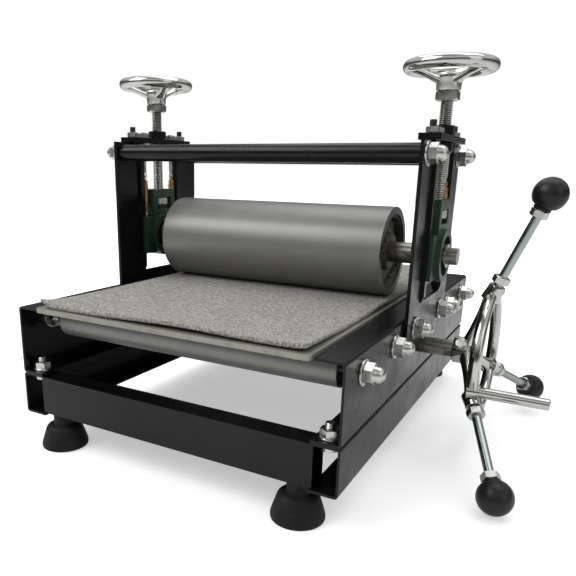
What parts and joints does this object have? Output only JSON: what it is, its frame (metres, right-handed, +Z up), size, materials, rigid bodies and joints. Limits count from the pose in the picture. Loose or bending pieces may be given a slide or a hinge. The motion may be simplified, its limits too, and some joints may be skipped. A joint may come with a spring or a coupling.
{
  "type": "tabletop printing press",
  "caption": "Tabletop roller press for prints: a felt-covered bed runs between a height-set top roller and a drive roller turned by a star wheel with ball levers.",
  "frame": {"origin": "on the table, under the middle of the whole width from the left handwheel to the crank handle's tip, and midway between front and back; the middle of the base frame is 50 mm to -X of it", "axes": "+X to the side with the star wheel, +Y from front to back along the bed's travel, +Z up"},
  "size_m": [0.6048, 0.564, 0.4428],
  "materials": {
    "black_paint": "gloss",
    "roller_steel": "satin",
    "shaft_steel": "satin",
    "bed_steel": "satin",
    "felt_wool": "matte",
    "zinc": "plated",
    "chrome": "polished",
    "bearing_steel": "ground",
    "dark_steel": "matte",
    "cast_green": "satin",
    "spring_brass": "satin",
    "rubber": "matte",
    "ball_plastic": "gloss"
  },
  "bodies": {
    "frame": {"upper_channel_left": "black_paint", "upper_channel_right": "black_paint", "lower_channel_left": "black_paint", "lower_channel_right": "black_paint", "cross_member_front": "black_paint", "cross_member_rear": "black_paint", "rubber_feet": "rubber", "foot_studs": "zinc", "flange_bolts": "zinc", "flange_nuts": "zinc", "upright_left": "black_paint", "upright_right": "black_paint", "guide_rails_left": "black_paint", "guide_rails_right": "black_paint", "upright_bolts": "zinc", "cap_plates": "black_paint", "cap_lugs": "black_paint", "cap_studs": "dark_steel", "cap_stud_nuts": "zinc", "spindle_nuts": "black_paint", "tie_bar_front": "black_paint", "tie_bar_rear": "black_paint", "washers": "zinc", "acorn_nuts": "zinc", "roller_axles": "zinc", "axle_washers": "zinc", "axle_nuts": "zinc", "drive_bearings": "dark_steel", "spring_eye_bolts": "zinc", "return_springs": "spring_brass"},
    "carriage": {"bearing_block_left": "cast_green", "bearing_block_right": "cast_green", "bearing_outer_rings": "bearing_steel", "bearing_seals": "rubber", "spring_anchors": "zinc"},
    "top_roller": {"top_roller_shell": "roller_steel", "top_roller_ends": "dark_steel", "top_roller_shaft": "shaft_steel", "bearing_inner_rings": "bearing_steel", "collar_screws": "dark_steel"},
    "screw_left": {"spindle_left": "zinc", "handwheel_left": "chrome", "jam_nut_left": "zinc"},
    "screw_right": {"spindle_right": "zinc", "handwheel_right": "chrome", "jam_nut_right": "zinc"},
    "bed": {"bed_plate": "bed_steel", "felt_blanket": "felt_wool"},
    "drive": {"drive_roller": "roller_steel", "drive_shaft": "shaft_steel", "star_wheel": "chrome", "hub_bolt": "zinc", "lever_rods": "zinc", "lever_nuts": "zinc", "lever_knobs": "ball_plastic", "crank_handle": "chrome"},
    "support_front": {"support_roller_front": "roller_steel"},
    "support_mid_front": {"support_roller_mid_front": "roller_steel"},
    "support_mid_rear": {"support_roller_mid_rear": "roller_steel"},
    "support_rear": {"support_roller_rear": "roller_steel"}
  },
  "joints": [
    {"name": "bed_slide", "type": "slide", "parent": "frame", "child": "bed", "axis": [0, 1, 0], "range_m": [-0.2, 0.2]},
    {"name": "screw_turn_right", "type": "hinge", "parent": "carriage", "child": "screw_right", "pos_m": [0.152, 0, 0.436], "axis": [0, 0, 1], "range_deg": [0, 2700]},
    {"name": "screw_turn_left", "type": "hinge", "parent": "carriage", "child": "screw_left", "pos_m": [-0.252, 0, 0.436], "axis": [0, 0, 1], "range_deg": [0, 2700]},
    {"name": "carriage_lift", "type": "slide", "parent": "frame", "child": "carriage", "axis": [0, 0, 1], "range_m": [0, 0.015], "stiffness_N_per_m": 1000, "springref_m": 0.12391, "deforming": ["return_springs"]},
    {"name": "top_roller_turn", "type": "hinge", "parent": "carriage", "child": "top_roller", "pos_m": [-0.05, 0, 0.23], "axis": [1, 0, 0], "range_deg": [-214, 214]},
    {"name": "drive_turn", "type": "hinge", "parent": "frame", "child": "drive", "pos_m": [-0.05, 0, 0.1195], "axis": [1, 0, 0], "range_deg": [-253, 253]},
    {"name": "support_front_turn", "type": "hinge", "parent": "frame", "child": "support_front", "pos_m": [-0.05, -0.224, 0.147], "axis": [1, 0, 0], "range_deg": [-635, 635]},
    {"name": "support_mid_front_turn", "type": "hinge", "parent": "frame", "child": "support_mid_front", "pos_m": [-0.05, -0.124, 0.147], "axis": [1, 0, 0], "range_deg": [-635, 635]},
    {"name": "support_mid_rear_turn", "type": "hinge", "parent": "frame", "child": "support_mid_rear", "pos_m": [-0.05, 0.124, 0.147], "axis": [1, 0, 0], "range_deg": [-635, 635]},
    {"name": "support_rear_turn", "type": "hinge", "parent": "frame", "child": "support_rear", "pos_m": [-0.05, 0.224, 0.147], "axis": [1, 0, 0], "range_deg": [-635, 635]}
  ],
  "couplings": [
    {"joint": "screw_turn_right", "follows": "carriage_lift", "rad_per_m": 3141.6},
    {"joint": "screw_turn_left", "follows": "carriage_lift", "rad_per_m": 3141.6},
    {"joint": "top_roller_turn", "follows": "bed_slide", "rad_per_m": 18.519},
    {"joint": "drive_turn", "follows": "bed_slide", "rad_per_m": -21.93},
    {"joint": "support_front_turn", "follows": "bed_slide", "rad_per_m": -55.249},
    {"joint": "support_mid_front_turn", "follows": "bed_slide", "rad_per_m": -55.249},
    {"joint": "support_mid_rear_turn", "follows": "bed_slide", "rad_per_m": -55.249},
    {"joint": "support_rear_turn", "follows": "bed_slide", "rad_per_m": -55.249}
  ]
}
